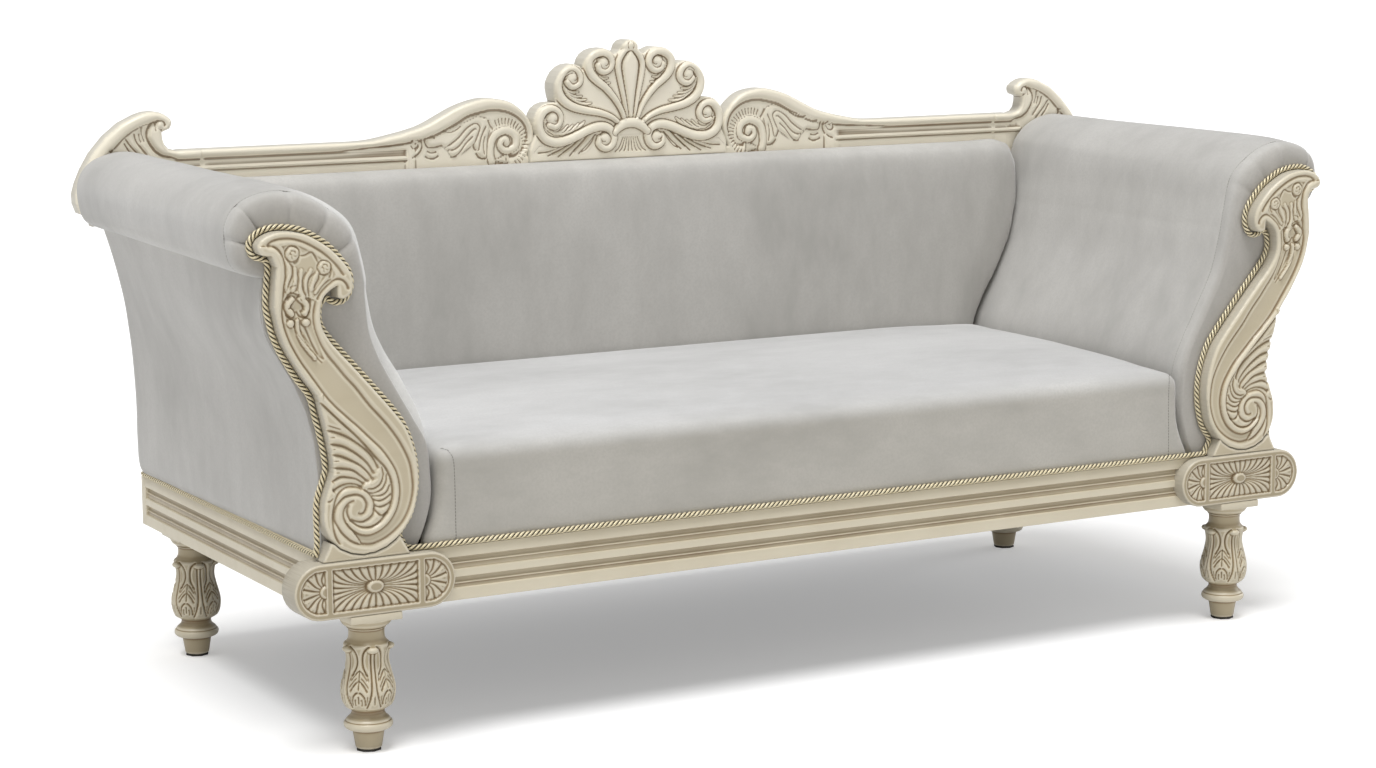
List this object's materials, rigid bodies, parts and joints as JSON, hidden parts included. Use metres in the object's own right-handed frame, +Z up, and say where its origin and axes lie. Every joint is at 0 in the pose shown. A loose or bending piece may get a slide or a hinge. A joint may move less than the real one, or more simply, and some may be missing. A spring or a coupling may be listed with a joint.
{
  "type": "settee",
  "caption": "Carved and painted settee with two scrolled arms, a crest rail with a shell, velvet upholstery, rope cord trim and turned legs.",
  "frame": {"origin": "on the floor, in the middle of the width and depth", "axes": "+X to the right as seen from the front, +Y to the back, +Z up"},
  "size_m": [2.084, 0.826, 1.03],
  "materials": {
    "painted_wood": "ivory paint, semi-gloss, with a brown antique glaze in the recesses",
    "frame_wood": "bare sawn wood",
    "velvet": "short pile velvet, light warm grey, with shaded nap",
    "foam": "upholstery foam",
    "gold_cord": "twisted gold rope cord with olive shadows",
    "webbing": "woven jute webbing",
    "dust_cloth": "black non-woven cloth",
    "glide_plastic": "matt dark brown"
  },
  "bodies": {
    "root": {"leg_front_left": "painted_wood", "leg_front_right": "painted_wood", "leg_back_left": "painted_wood", "leg_back_right": "painted_wood", "leg_glide_front_left": "glide_plastic", "leg_glide_front_right": "glide_plastic", "leg_glide_back_left": "glide_plastic", "leg_glide_back_right": "glide_plastic", "front_rail": "painted_wood", "back_rail": "painted_wood", "side_rail_left": "painted_wood", "corner_plaque_left": "painted_wood", "corner_block_front_left": "frame_wood", "corner_block_back_left": "frame_wood", "cross_bearer_left": "frame_wood", "side_rail_right": "painted_wood", "corner_plaque_right": "painted_wood", "corner_block_front_right": "frame_wood", "corner_block_back_right": "frame_wood", "cross_bearer_right": "frame_wood", "seat_webbing": "webbing", "seat_foam": "foam", "seat_cover": "velvet", "dust_cover": "dust_cloth", "arm_facing_left": "painted_wood", "facing_plinth_left": "painted_wood", "arm_front_pad_left": "velvet", "arm_cover_left": "velvet", "arm_foam_left": "foam", "arm_post_front_left": "frame_wood", "arm_post_rear_left": "frame_wood", "arm_beam_left": "frame_wood", "arm_outer_panel_left": "velvet", "back_post_left": "frame_wood", "back_middle_post_left": "frame_wood", "arm_facing_right": "painted_wood", "facing_plinth_right": "painted_wood", "arm_front_pad_right": "velvet", "arm_cover_right": "velvet", "arm_foam_right": "foam", "arm_post_front_right": "frame_wood", "arm_post_rear_right": "frame_wood", "arm_beam_right": "frame_wood", "arm_outer_panel_right": "velvet", "back_post_right": "frame_wood", "back_middle_post_right": "frame_wood", "back_cover": "velvet", "back_foam": "foam", "outer_back_panel": "velvet", "crest_rail": "painted_wood", "crest_shell": "painted_wood", "horn_left": "painted_wood", "horn_right": "painted_wood", "cord_front": "gold_cord", "cord_back": "gold_cord", "cord_side_left": "gold_cord", "cord_arm_left": "gold_cord", "cord_side_right": "gold_cord", "cord_arm_right": "gold_cord"}
  },
  "joints": []
}
